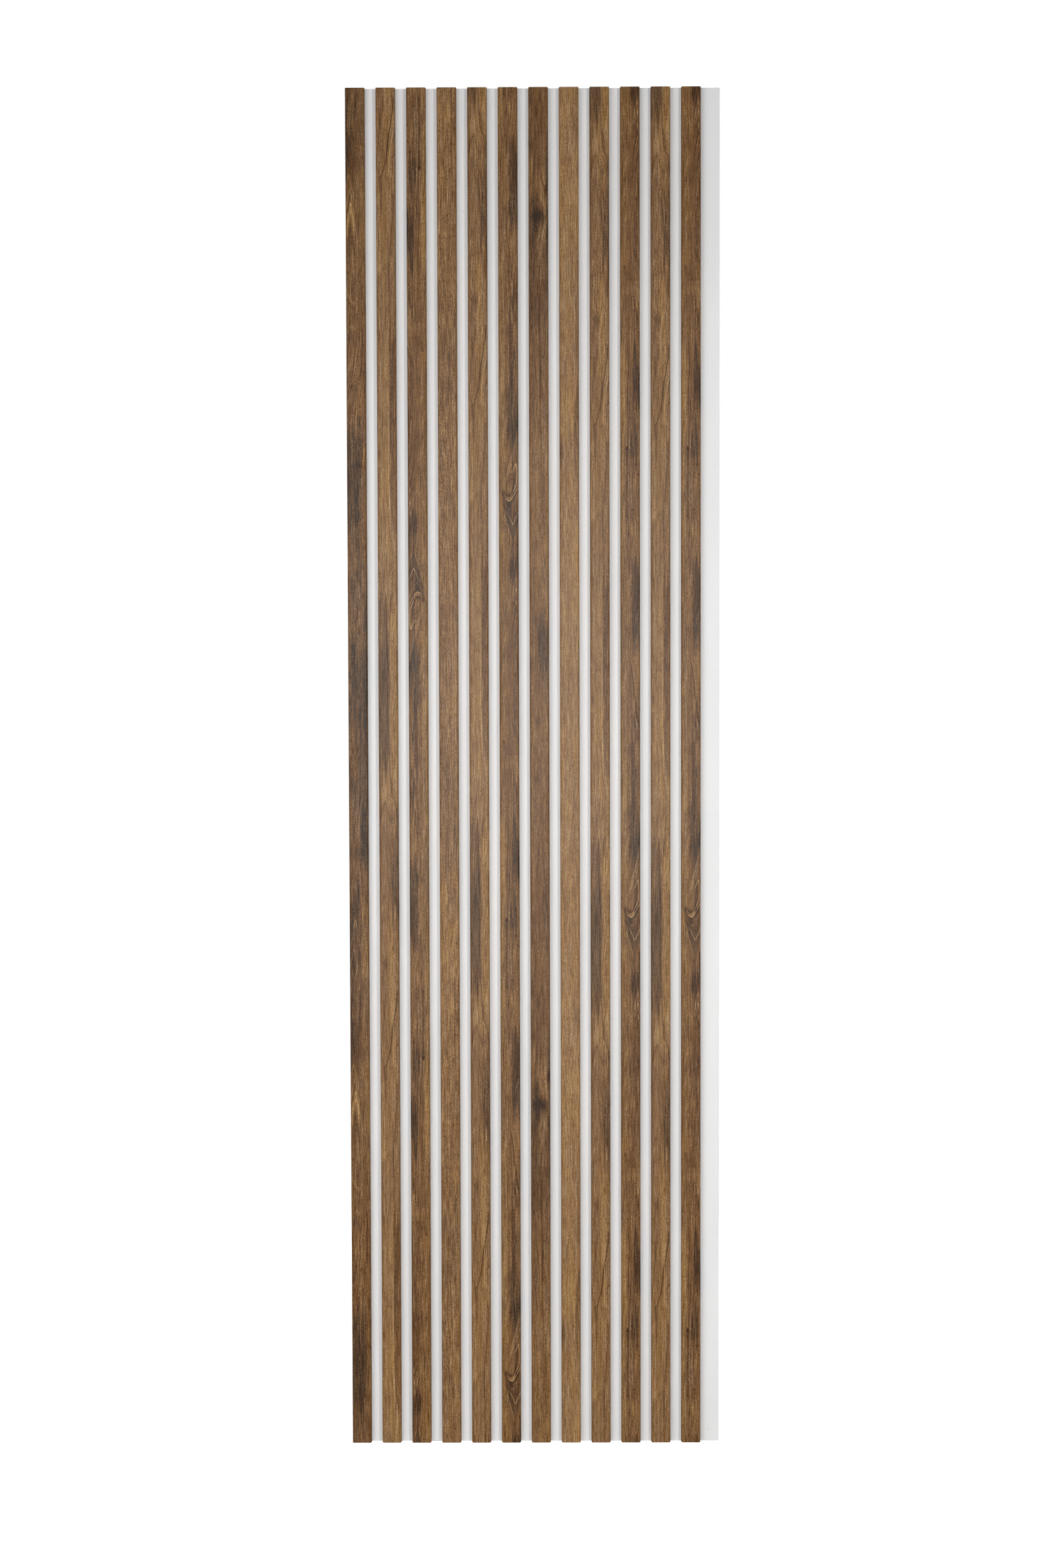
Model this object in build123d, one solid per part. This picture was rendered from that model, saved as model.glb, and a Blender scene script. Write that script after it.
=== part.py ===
from build123d import *
import os

# A slat wall panel: upright slats glued side by side on a thin board that is fixed to a wall.
# Its long edges lap, so that a row of panels reads as one run of slats at an even pitch.
# X runs to the right across the wall, Z runs up, and the slats face -Y.
# The origin is the middle of the board's back face, which lies against the wall.

# Driving dimensions, in millimetres
panel_length = 2600.0
slat_count = 12
slat_width = 37.5
slat_gap = 20.5
slat_thickness = 11.5
board_thickness = 5.0

# Section of a slat
slat_face_radius = 3.0
slat_side_draft = 0.6
slat_back_arris = 0.6

# Lap with the next panel
lap_width = 16.0
board_joint_gap = 0.4

# Values that follow from the driving dimensions
slat_pitch = slat_width + slat_gap
board_width = slat_count * slat_pitch - board_joint_gap
board_left = -board_width / 2
board_front = -board_thickness
panel_bottom = -panel_length / 2
first_slat_centre = board_left - lap_width + slat_width / 2


def slat_section():
    """Section of a slat, its glued side on the X axis and its face towards -Y."""
    half_width = slat_width / 2
    half_face = half_width - slat_side_draft
    half_back = half_width - slat_back_arris
    outline = Polyline(
        (-half_back, 0),
        (half_back, 0),
        (half_width, -slat_back_arris),
        (half_face, -slat_thickness),
        (-half_face, -slat_thickness),
        (-half_width, -slat_back_arris),
        close=True,
    )
    section = Sketch() + make_face(outline)
    face_corners = section.vertices().group_by(Axis.Y)[0]
    return fillet(face_corners, slat_face_radius)


def make_slat(index):
    """Slat number index, counted from 0 at the left; the first one overhangs the board by the lap."""
    centre = first_slat_centre + index * slat_pitch
    blank = extrude(slat_section(), amount=panel_length, dir=(0, 0, 1))
    return Pos(centre, board_front, panel_bottom) * blank


def make_backing_board():
    """Flat board; beyond the last slat it leaves a gap and the strip that the next panel laps over."""
    section = Rectangle(board_width, board_thickness, align=(Align.CENTER, Align.MAX))
    blank = extrude(section, amount=panel_length, dir=(0, 0, 1))
    return Pos(0, 0, panel_bottom) * blank


nodes = {"backing_board": make_backing_board()}
for index in range(slat_count):
    nodes[f"slat_{index + 1:02d}"] = make_slat(index)

os.makedirs("parts", exist_ok=True)
for name, shape in nodes.items():
    shape.label = name
    export_step(shape, f"parts/{name}.step")
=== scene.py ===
import math
import bpy
from mathutils import Matrix, Vector


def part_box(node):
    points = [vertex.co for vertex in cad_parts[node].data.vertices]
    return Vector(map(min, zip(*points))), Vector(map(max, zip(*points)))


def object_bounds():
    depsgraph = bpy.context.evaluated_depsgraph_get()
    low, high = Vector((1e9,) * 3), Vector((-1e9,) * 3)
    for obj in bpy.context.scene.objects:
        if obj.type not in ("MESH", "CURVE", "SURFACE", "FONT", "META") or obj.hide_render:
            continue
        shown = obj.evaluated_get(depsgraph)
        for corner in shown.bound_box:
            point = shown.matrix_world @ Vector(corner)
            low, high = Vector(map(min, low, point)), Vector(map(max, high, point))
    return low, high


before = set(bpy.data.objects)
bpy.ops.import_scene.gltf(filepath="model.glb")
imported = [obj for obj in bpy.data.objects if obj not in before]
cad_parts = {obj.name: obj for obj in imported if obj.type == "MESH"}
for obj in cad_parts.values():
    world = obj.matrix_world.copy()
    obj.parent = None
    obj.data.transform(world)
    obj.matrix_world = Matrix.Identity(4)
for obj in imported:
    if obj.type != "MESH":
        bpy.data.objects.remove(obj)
cad_low, cad_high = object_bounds()

# The panel stands upright: X runs across it, Z up along the slats, and its slats face -Y.
# Materials work in millimetres, so a metre is this many units of theirs.
MM = 1000.0

slat_names = sorted(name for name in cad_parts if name.startswith("slat_"))
first_slat_low, first_slat_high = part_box(slat_names[0])
board_low, board_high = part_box("backing_board")
slat_face_y = first_slat_low.y * MM
slat_half_width = (first_slat_high.x - first_slat_low.x) / 2 * MM
panel_top = cad_high.z * MM
panel_bottom = cad_low.z * MM
board_front_y = board_low.y * MM

# The walnut decor is printed on a long film, and the print repeats after this length, in millimetres.
DECOR_REPEAT = 1698.0


class Field:
    """A number that varies over a surface, held as a node's output, for writing formulas."""

    def __init__(self, tree, socket):
        self.tree = tree
        self.socket = socket

    def join(self, operation, *others):
        """The result of a math node fed with this field and other fields or numbers."""
        node = self.tree.nodes.new("ShaderNodeMath")
        node.operation = operation
        for slot, value in enumerate((self,) + others):
            set_input(self.tree, node.inputs[slot], value)
        return Field(self.tree, node.outputs[0])

    def __add__(self, other):
        return self.join("ADD", other)

    def __sub__(self, other):
        return self.join("SUBTRACT", other)

    def __mul__(self, other):
        return self.join("MULTIPLY", other)

    def __truediv__(self, other):
        return self.join("DIVIDE", other)

    def __rsub__(self, other):
        return (self * -1.0) + other

    def __neg__(self):
        return self * -1.0

    __radd__ = __add__
    __rmul__ = __mul__

    def sin(self):
        return self.join("SINE")

    def cos(self):
        return self.join("COSINE")

    def abs(self):
        return self.join("ABSOLUTE")

    def sign(self):
        return self.join("SIGN")

    def fract(self):
        return self.join("FRACT")

    def root(self):
        return self.join("SQRT")

    def at_least(self, low):
        return self.join("MAXIMUM", low)

    def at_most(self, high):
        return self.join("MINIMUM", high)

    def bell(self):
        """1 where the field is 0, falling smoothly to 0 at about 2 either side."""
        return (self * self * -1.0).join("EXPONENT")

    def step(self, low, high):
        """0 at low, 1 at high and beyond, smooth between; low may be the larger."""
        node = self.tree.nodes.new("ShaderNodeMapRange")
        node.interpolation_type = "SMOOTHSTEP"
        self.tree.links.new(self.socket, node.inputs["Value"])
        set_input(self.tree, node.inputs["From Min"], low)
        set_input(self.tree, node.inputs["From Max"], high)
        return Field(self.tree, node.outputs["Result"])


def set_input(tree, socket, value):
    """Feeds a node's input from a field, or gives it a fixed number."""
    if isinstance(value, Field):
        tree.links.new(value.socket, socket)
    else:
        socket.default_value = value


def new_material(name):
    """An empty material with its node tree and its one surface shader."""
    material = bpy.data.materials.new(name)
    material.use_nodes = True
    tree = material.node_tree
    tree.nodes.clear()
    shader = tree.nodes.new("ShaderNodeBsdfPrincipled")
    output = tree.nodes.new("ShaderNodeOutputMaterial")
    tree.links.new(shader.outputs["BSDF"], output.inputs["Surface"])
    return material, tree, shader


def three_fields(tree, coordinate):
    """The X, Y and Z of one of the object's own coordinates."""
    place = tree.nodes.new("ShaderNodeTexCoord")
    split = tree.nodes.new("ShaderNodeSeparateXYZ")
    tree.links.new(place.outputs[coordinate], split.inputs[0])
    return [Field(tree, socket) for socket in split.outputs]


def object_place(tree):
    """Where a point is on the panel, as three fields in millimetres."""
    return [field * MM for field in three_fields(tree, "Object")]


def facing(tree):
    """The surface's own direction, as three fields."""
    return three_fields(tree, "Normal")


def seen_rays(tree):
    """1 for what the camera sees, also in reflections and through glass, and 0 for light on surfaces."""
    path = tree.nodes.new("ShaderNodeLightPath")
    seen = Field(tree, path.outputs["Is Camera Ray"])
    seen = seen.join("MAXIMUM", Field(tree, path.outputs["Is Glossy Ray"]))
    return seen.join("MAXIMUM", Field(tree, path.outputs["Is Transmission Ray"]))


def noise(x, y, z, detail=2.0, roughness=0.5):
    """Smooth noise about 0, from about -1 to 1, one lump to each unit of the three fields."""
    tree = next(f for f in (x, y, z) if isinstance(f, Field)).tree
    join = tree.nodes.new("ShaderNodeCombineXYZ")
    for slot, value in enumerate((x, y, z)):
        set_input(tree, join.inputs[slot], value)
    node = tree.nodes.new("ShaderNodeTexNoise")
    node.noise_dimensions = "3D"
    node.normalize = False
    node.inputs["Scale"].default_value = 1.0
    node.inputs["Detail"].default_value = detail
    node.inputs["Roughness"].default_value = roughness
    tree.links.new(join.outputs[0], node.inputs["Vector"])
    return Field(tree, node.outputs["Fac"])


def ramp(field, stops):
    """A colour for each value of the field, from (value, (red, green, blue) as seen on screen) stops."""
    node = field.tree.nodes.new("ShaderNodeValToRGB")
    node.color_ramp.interpolation = "LINEAR"
    elements = node.color_ramp.elements
    while len(elements) < len(stops):
        elements.new(0.5)
    for element, (place, shown) in zip(elements, stops):
        element.position = place
        element.color = (*linear(shown), 1.0)
    field.tree.links.new(field.socket, node.inputs["Fac"])
    return node.outputs["Color"]


def linear(shown):
    """Linear light from a colour given as screen values from 0 to 255."""
    out = []
    for value in shown:
        c = value / 255.0
        out.append(c / 12.92 if c <= 0.04045 else ((c + 0.055) / 1.055) ** 2.4)
    return out


def mix(amount, first, second):
    """Colour: first where the amount is 0, second where it is 1."""
    tree = amount.tree
    node = tree.nodes.new("ShaderNodeMix")
    node.data_type = "RGBA"
    tree.links.new(amount.socket, node.inputs["Factor"])
    for socket, value in ((node.inputs["A"], first), (node.inputs["B"], second)):
        if isinstance(value, tuple):
            socket.default_value = (*linear(value), 1.0)
        else:
            tree.links.new(value, socket)
    return node.outputs["Result"]


def bump(tree, shader, height, depth_mm):
    """Raises the surface by the field, a height from 0 to 1, times a depth in millimetres."""
    node = tree.nodes.new("ShaderNodeBump")
    node.inputs["Strength"].default_value = 1.0
    node.inputs["Distance"].default_value = depth_mm / MM
    tree.links.new(height.socket, node.inputs["Height"])
    tree.links.new(node.outputs["Normal"], shader.inputs["Normal"])


def finish_cad_node(name, material):
    """Gives a node its material and leaves its shape as it is."""
    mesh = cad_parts[name].data
    mesh.materials.clear()
    mesh.materials.append(material)


def formula(name, inputs, outputs, build):
    """A formula used in many places, kept once as a node group."""
    group = bpy.data.node_groups.new(name, "ShaderNodeTree")
    for label in inputs:
        group.interface.new_socket(name=label, in_out="INPUT", socket_type="NodeSocketFloat")
    for label in outputs:
        group.interface.new_socket(name=label, in_out="OUTPUT", socket_type="NodeSocketFloat")
    entry = group.nodes.new("NodeGroupInput")
    leave = group.nodes.new("NodeGroupOutput")
    results = build(*[Field(group, entry.outputs[slot]) for slot in range(len(inputs))])
    for slot, result in enumerate(results):
        group.links.new(result.socket, leave.inputs[slot])
    return group


def use(group, *values):
    """The results of a formula for these fields and numbers."""
    tree = next(value.tree for value in values if isinstance(value, Field))
    node = tree.nodes.new("ShaderNodeGroup")
    node.node_tree = group
    for slot, value in enumerate(values):
        set_input(tree, node.inputs[slot], value)
    return [Field(tree, socket) for socket in node.outputs]


def read_off(field, points):
    """A number read off a smooth curve drawn through (place, value) points, flat past its ends."""
    tree = field.tree
    first, last = points[0][0], points[-1][0]
    low = min(value for place, value in points)
    high = max(value for place, value in points)
    share = tree.nodes.new("ShaderNodeMapRange")
    tree.links.new(field.socket, share.inputs["Value"])
    share.inputs["From Min"].default_value = first
    share.inputs["From Max"].default_value = last
    node = tree.nodes.new("ShaderNodeFloatCurve")
    tree.links.new(share.outputs["Result"], node.inputs["Value"])
    node.mapping.extend = "HORIZONTAL"
    curve = node.mapping.curves[0]
    curve.points[0].location = (0.0, (points[0][1] - low) / (high - low))
    curve.points[1].location = (1.0, (points[-1][1] - low) / (high - low))
    for place, value in points[1:-1]:
        curve.points.new((place - first) / (last - first), (value - low) / (high - low))
    for point in curve.points:
        point.handle_type = "AUTO_CLAMPED"
    node.mapping.update()
    return Field(tree, node.outputs[0]).join("MULTIPLY_ADD", high - low, low)


# Features of the decor. Each takes the film's tone, grey and gold so far and changes them where it lies.
# Tone runs from 0, nearly black brown, to 1, pale tan; grey and gold lean the colour either way.
LAYERS = ["tone", "grey", "gold"]
CHANGES = ["tone change", "grey change", "gold change"]

# Where a patch fades out: its shape plus streaks along the grain is cut off between these two values
PATCH_FAINT = 0.28
PATCH_FULL = 0.70

# A chevron's arms and the field inside it start to fade at these shares of their reach
ARM_FADE = 0.6
WEDGE_FADE = 0.5

# The field inside a chevron is blurred over this many millimetres at its sides
WEDGE_BLUR = 1.6

# A line across the lane fades at its two ends from so far inside them to so far outside
RING_END_INSIDE = 1.2
RING_END_OUTSIDE = 0.8


def lay(layers, mask, changes):
    """Adds a feature to the layers where its mask is."""
    return [layer + mask * change for layer, change in zip(layers, changes)]


def past(down, place):
    """How far down the film a point is beyond a place, from minus half a repeat to plus half."""
    return (((down - place) / DECOR_REPEAT + 0.5).fract() - 0.5) * DECOR_REPEAT


def patch_formula(tone, grey, gold, ragged, wavy, streaky, middle, outer, inner, centre, wide, narrow,
                  *changes):
    along = past(ragged, middle).abs().step(outer, inner)
    mask = (along * (wavy - centre).abs().step(wide, narrow) + streaky).step(PATCH_FAINT, PATCH_FULL)
    return lay((tone, grey, gold), mask, changes)


def streak_formula(tone, grey, gold, across, down, line, width, middle, outer, inner, *changes):
    mask = ((across - line) / width).bell() * past(down, middle).abs().step(outer, inner)
    return lay((tone, grey, gold), mask, changes)


def ring_formula(tone, grey, gold, across, beyond, line, width, centre, outer, inner, *changes):
    mask = ((beyond - line) / width).bell() * (across - centre).abs().step(outer, inner)
    return lay((tone, grey, gold), mask, changes)


def fall_of(across, centre, steep, round_by):
    """How far the arms of a rounded chevron have dropped at a place across the film."""
    sideways = across - centre
    return ((sideways * sideways + round_by * round_by).root() - round_by) * steep


def arch_formula(tone, grey, gold, across, down, apex, way, centre, steep, round_by, width, reach,
                 *changes):
    beyond = past(down, apex) * way
    mask = ((beyond - fall_of(across, centre, steep, round_by)) / (steep * width)).bell()
    mask = mask * beyond.step(reach, reach * ARM_FADE)
    return lay((tone, grey, gold), mask, changes)


def wedge_formula(tone, grey, gold, across, down, apex, way, centre, steep, round_by, reach, *changes):
    beyond = past(down, apex) * way
    mask = (beyond - fall_of(across, centre, steep, round_by)).step(0.0, steep * WEDGE_BLUR)
    mask = mask * beyond.step(reach, reach * WEDGE_FADE)
    return lay((tone, grey, gold), mask, changes)


def spot_formula(tone, grey, gold, across, down, place, length, centre, width, *changes):
    along = past(down, place) / length
    sideways = (across - centre) / width
    mask = (along * along + sideways * sideways).root().bell()
    return lay((tone, grey, gold), mask, changes)


def feature(name, inputs, build):
    """A formula that changes the layers by a feature of these measures, a string of names."""
    return formula(name, LAYERS + inputs.split() + CHANGES, LAYERS, build)


BEYOND = formula("beyond", ["down", "place"], ["beyond"], lambda down, place: [past(down, place) + place])
PATCH = feature("patch", "ragged wavy streaky middle outer inner centre wide narrow", patch_formula)
STREAK = feature("streak", "across down line width middle outer inner", streak_formula)
RING = feature("ring", "across beyond line width centre outer inner", ring_formula)
ARCH = feature("arch", "across down apex way centre steep round_by width reach", arch_formula)
WEDGE = feature("wedge", "across down apex way centre steep round_by reach", wedge_formula)
SPOT = feature("spot", "across down place length centre width", spot_formula)

# Unevenness that every lane has, in millimetres: how far the grain and the sides of patches sway, and
# how far the ends of patches reach out in thin and in broad fingers
GRAIN_SWAY = 1.6
SIDE_SWAY = 1.6
THIN_FINGERS = 45.0
BROAD_FINGERS = 40.0

# How strong the streaks inside patches are, and how much the tone drifts along the film
PATCH_STREAKS = 0.48
TONE_DRIFT = 0.035

# How strongly each kind of fine grain changes the tone, a small shift tuned to the photograph's mean
# tone, and how much the tint varies from fibre to fibre
LINES = 0.15
DASHES = 0.33
MOTTLE = 0.24
PORES = 0.34
HAIRS = 0.15
MEAN_SHIFT = 0.006
FIBRE_GREY = 0.55
FIBRE_GOLD = 0.35

# Each noise takes its own part of the endless pattern, so far from the one before
SEED_STEP = 7.31

# Places past either side of a slat, for patches that run off it
OFF_LEFT = -30
OFF_RIGHT = 30


class Lane:
    """One lane of the printed film, drawn feature by feature; places are down and across it, in mm."""

    def __init__(self, across, down, seed, tone):
        self.across = across
        self.down = down
        self.seed = seed
        turn = down * (2 * math.pi / DECOR_REPEAT)
        self.turn_a = turn.cos()
        self.turn_b = turn.sin()
        self.flow = across + self.cloud(16, 190, 1.0, 0.31) * GRAIN_SWAY
        self.ragged = down + self.cloud(1.5, 500, 1.0, 0.5) * THIN_FINGERS
        self.ragged = self.ragged + self.cloud(4.0, 400, 0.0, 0.5) * BROAD_FINGERS
        self.wavy = across + self.cloud(9, 70, 1.0, 0.5) * SIDE_SWAY
        self.streaky = self.cloud(2.0, 60, 1.0, 0.6, self.flow) * PATCH_STREAKS
        start_tone = self.cloud(60, 330, 2.0, 0.5) * TONE_DRIFT + tone
        start_grey = self.cloud(22, 210, 1.0, 0.5) * 0.22 + self.cloud(7, 40, 0.0, 0.5) * 0.16 + 0.24
        start_gold = self.cloud(18, 260, 1.0, 0.5) * 0.30 + self.cloud(6, 60, 0.0, 0.5) * 0.25 + 0.26
        self.layers = [start_tone, start_grey, start_gold]

    def cloud(self, width, length, detail=2.0, roughness=0.5, place=None):
        """Noise with lumps so wide and long, repeating with the film."""
        self.seed += SEED_STEP
        radius = DECOR_REPEAT / length / (2 * math.pi)
        place = self.across if place is None else place
        shifted = place.join("MULTIPLY_ADD", 1 / width, self.seed)
        return noise(shifted, self.turn_a * radius, self.turn_b * radius, detail, roughness)

    def patch(self, top, bottom, left, right, tone, grey=0.0, gold=0.0, soft=30.0, side=2.2):
        """A darker or lighter field with ragged ends and wavy sides."""
        half = (bottom - top) / 2
        wide = (right - left) / 2
        self.layers = use(PATCH, *self.layers, self.ragged, self.wavy, self.streaky,
                          top + half, half + soft, max(half - soft, 0.0),
                          left + wide, wide + side / 2, max(wide - side / 2, 0.0), tone, grey, gold)

    def streak(self, points, width, tone, grey=0.0, gold=0.0, soft=10.0):
        """A line running down the lane through (down, across) points."""
        top, bottom = points[0][0], points[-1][0]
        half = (bottom - top) / 2
        line = read_off(use(BEYOND, self.down, top + half)[0], points)
        self.layers = use(STREAK, *self.layers, self.across, self.down, line, width,
                          top + half, half + soft / 2, max(half - soft / 2, 0.0), tone, grey, gold)

    def ring(self, points, width, tone, grey=0.0, gold=0.0):
        """A line running across the lane through (across, down) points, its width measured down it."""
        left, right = points[0][0], points[-1][0]
        half = (right - left) / 2
        beyond = use(BEYOND, self.down, points[0][1])[0]
        line = read_off(self.across, points)
        self.layers = use(RING, *self.layers, self.across, beyond, line, width,
                          left + half, half + RING_END_OUTSIDE, half - RING_END_INSIDE, tone, grey, gold)

    def arch(self, apex, across, steep, reach, width, tone, grey=0.0, gold=0.0, round_by=1.0):
        """A rounded chevron line pointing up, or down where steep is negative; its arms reach so far."""
        self.layers = use(ARCH, *self.layers, self.across, self.down, apex, math.copysign(1, steep),
                          across, abs(steep), round_by, width, reach, tone, grey, gold)

    def wedge(self, apex, across, steep, reach, tone, grey=0.0, gold=0.0, round_by=1.0):
        """The field inside such a chevron."""
        self.layers = use(WEDGE, *self.layers, self.across, self.down, apex, math.copysign(1, steep),
                          across, abs(steep), round_by, reach, tone, grey, gold)

    def spot(self, down, across, length, width, tone, grey=0.0, gold=0.0):
        """A soft round or long blot."""
        self.layers = use(SPOT, *self.layers, self.across, self.down, down, length, across, width,
                          tone, grey, gold)

    def lean(self, points, left, right):
        """Slants the grain down and to the left where the value rises: fully at right, not at left."""
        self.flow = self.flow + read_off(self.down, points) * self.across.step(left, right)

    def finish(self, fine, bands=0.10):
        """The grain over everything, along the flow; fine and bands are its two strengths."""
        tone, grey, gold = self.layers
        broad = self.cloud(10, 330, 1.0, 0.6, self.flow)
        lines = self.cloud(2.2, 90, 0.0, 0.5, self.flow)
        dashes = self.cloud(1.15, 30, 0.0, 0.5, self.flow)
        mottle = self.cloud(1.2, 3.5, 0.0, 0.5, self.flow)
        tint = self.cloud(1.3, 60, 1.0, 0.6, self.flow)
        hairs = self.cloud(1.0, 80, 1.0, 0.5, self.flow).step(0.35, 0.62)
        pores = self.cloud(0.8, 11, 0.0, 0.5, self.flow).step(0.25, 0.7)
        grain = dashes * 0.5 + lines * 0.3 + mottle * 0.2
        tone = tone + broad * bands + lines * (LINES * fine) + dashes * (DASHES * fine)
        tone = tone + mottle * (MOTTLE * fine) - pores * (PORES * fine) + hairs * (HAIRS * fine)
        tone = tone + MEAN_SHIFT
        return [tone, grey + broad * 0.12 + tint * FIBRE_GREY, gold - tint * FIBRE_GOLD, grain, pores]


def lane_swirl(across, down, seed):
    """Mid-brown lane with a dark right side, a small knot, and one large swirl with a chevron below it."""
    lane = Lane(across, down, seed, 0.47)
    lane.lean([(0, 1), (30, 0), (170, 15), (230, 15), (460, 2), (930, 2), (1065, 15), (1090, 15), (1215, 3),
               (1440, 2), (1530, 19), (1590, 19), (1698, 1)], -8, 9)
    lane.patch(0, 1698, OFF_LEFT, -6, 0.03, gold=0.2, side=4.8)
    lane.patch(1672, 1728, 1.5, OFF_RIGHT, -0.28, grey=0.23, soft=24, side=3.0)
    lane.wedge(1722, 13, 4.6, 70, 0.10, round_by=2)
    lane.patch(1728, 1890, 4, OFF_RIGHT, -0.08, soft=60, side=3.6)
    for apex in (1722, 1745, 1768):
        lane.arch(apex, 13.5, 6.0, 60, 0.65, 0.23)
    for apex in (1734, 1757, 1782):
        lane.arch(apex, 14.5, 6.5, 75, 0.65, -0.17)
    lane.patch(225, 330, 8, OFF_RIGHT, -0.08, soft=50)
    lane.arch(415, 14, -7, 60, 0.7, 0.22)
    lane.patch(418, 450, 8, 17, -0.16, soft=22)
    lane.arch(458, 14.5, -6, 40, 0.7, 0.22)
    lane.patch(345, 400, 9, OFF_RIGHT, 0.08, gold=0.3, soft=40)
    lane.patch(500, 606, 4.5, OFF_RIGHT, -0.30, grey=0.35, soft=26, side=3.6)
    lane.patch(505, 600, 0, 6, -0.12, soft=40, side=3.0)
    lane.patch(600, 645, 8, OFF_RIGHT, 0.06, soft=26)
    lane.patch(640, 700, 0, 15, -0.20, grey=0.46, soft=34, side=3.0)
    lane.streak([(500, -3.0), (600, -5.0), (680, -5.2), (760, -6.4), (830, -7.0)], 0.7, -0.27, soft=30)
    lane.patch(480, 900, OFF_LEFT, -8.5, 0.09, gold=0.5, soft=110, side=1.8)
    lane.spot(682, -6.4, 3.4, 2.2, -0.62, grey=-0.4)
    lane.spot(690, -5.2, 9.0, 3.4, -0.10, grey=0.25)
    lane.streak([(655, -2), (676, -1.5), (690, -3.5), (720, -4.2)], 0.8, 0.18, soft=14)
    lane.patch(700, 860, -5, 14, 0.03, grey=0.12, soft=60, side=3.0)
    lane.patch(842, 905, 3, OFF_RIGHT, 0.08, gold=0.2, soft=40)
    lane.patch(905, 1056, 3.5, OFF_RIGHT, -0.21, grey=0.46, soft=42, side=3.0)
    lane.wedge(1066, 8, -7, 70, -0.10, grey=0.2, round_by=2)
    lane.streak([(985, 16.5), (1010, 14.0), (1040, 10.8), (1068, 7.6)], 0.6, 0.29, soft=16)
    lane.streak([(995, 11.5), (1030, 8.0), (1060, 5.5)], 0.6, 0.22, soft=16)
    lane.streak([(1005, 18), (1030, 15.0), (1056, 11.0)], 0.6, 0.22, soft=16)
    lane.patch(1062, 1096, 6, OFF_RIGHT, 0.06, soft=24)
    lane.streak([(1088, 0.0), (1106, 2.6), (1130, 5.6), (1160, 7.5)], 0.9, -0.36, soft=14)
    lane.streak([(1088, 2.6), (1102, 4.6), (1122, 6.8)], 0.6, 0.26, soft=12)
    lane.streak([(1108, -1.5), (1140, 1.0), (1180, 3.4)], 0.8, -0.23, soft=20)
    lane.patch(1150, 1212, 8.5, OFF_RIGHT, -0.24, grey=0.23, soft=26, side=2.4)
    lane.streak([(1160, 7.0), (1190, 8.2), (1206, 11.6), (1220, 16.5)], 0.6, 0.31, soft=16)
    lane.patch(1225, 1385, 1, 8, -0.17, grey=0.29, soft=50, side=2.4)
    lane.patch(1290, 1322, 7, 15, -0.17, grey=0.29, soft=20)
    lane.patch(1335, 1372, 5, 12, -0.16, grey=0.23, soft=20)
    lane.patch(1232, 1290, 9.5, OFF_RIGHT, 0.07, soft=26)
    lane.patch(1322, 1350, 10, OFF_RIGHT, 0.07, soft=20)
    lane.patch(1386, 1470, -1.5, OFF_RIGHT, -0.19, grey=0.52, soft=40, side=2.4)
    lane.patch(1386, 1440, 14, OFF_RIGHT, -0.12, grey=0.29, soft=30, side=1.8)
    lane.streak([(1395, -4.4), (1430, -4.2), (1465, -3.6)], 0.6, 0.22, soft=16)
    lane.streak([(1440, -2.6), (1475, -1.6)], 0.6, -0.22, soft=16)
    lane.patch(1100, 1500, OFF_LEFT, -7, 0.06, gold=0.4, soft=90, side=2.4)
    for up in (0, 9, 19, 30, 40):
        lane.streak([(1446 + up, 17.5 - up * 0.10), (1476 + up, 10.0 - up * 0.16),
                     (1508 + up * 0.9, 0.5 - up * 0.16)], 0.6, 0.26, soft=18)
    lane.patch(1530, 1564, -12, 5, 0.05, gold=0.2, soft=20, side=3.6)
    lane.wedge(1656, 8, -3.5, 86, -0.17, grey=0.35, round_by=1.2)
    lane.patch(1512, 1562, 8.5, 15.0, -0.13, grey=0.23, soft=14, side=1.8)
    lane.streak([(1506, 14.2), (1515, 10.5), (1523, 6.0)], 0.85, 0.42, soft=4)
    lane.streak([(1506, 14.4), (1520, 16.0), (1538, 15.6), (1549, 13.2), (1561, 8.2)], 0.9, 0.44, soft=4)
    lane.streak([(1526, 10.4), (1545, 9.8), (1557, 7.6)], 1.2, -0.24, soft=10)
    lane.ring([(-11, 1560), (-6, 1565.5), (-2, 1568), (2, 1567), (5, 1563), (9, 1551)], 3.2,
              -0.30, grey=0.2)
    lane.ring([(-6, 1574), (-2, 1576), (1.5, 1577), (4.5, 1574.5), (8, 1569.5), (13, 1561), (17, 1553)],
              1.3, 0.56)
    lane.ring([(-9, 1570), (-4, 1579), (1, 1583), (6, 1579), (12, 1568), (17, 1558)], 2.8, -0.24, grey=0.2)
    lane.ring([(3, 1586), (8, 1581), (13, 1573), (17, 1565)], 1.6, 0.20)
    lane.ring([(-9, 1563), (-5, 1568.5), (-2, 1571.5), (1.5, 1572), (4.5, 1568.5), (9, 1559), (14, 1547)],
              1.0, 0.30)
    lane.ring([(-7, 1577), (-2, 1586), (2, 1589), (6, 1585), (11, 1575), (15, 1566)], 1.1, -0.22)
    lane.ring([(-5, 1583), (-1, 1592), (2, 1594), (6, 1589), (11, 1580)], 1.0, 0.22)
    lane.streak([(1560, -12.4), (1572, -10.8), (1583, -8.6), (1595, -6.0)], 0.9, -0.32, grey=0.2, soft=8)
    lane.streak([(1562, -9.0), (1574, -7.8), (1588, -6.2)], 0.8, -0.24, soft=8)
    lane.spot(1587, 1.0, 9, 4.0, -0.14, grey=0.35)
    lane.arch(1622, 8, -2.4, 30, 0.85, 0.52, round_by=0.8)
    lane.streak([(1596, -10.0), (1614, -5.4), (1631, -0.8), (1650, 4.0), (1690, 5.4)], 0.7, 0.24, soft=12)
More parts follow.
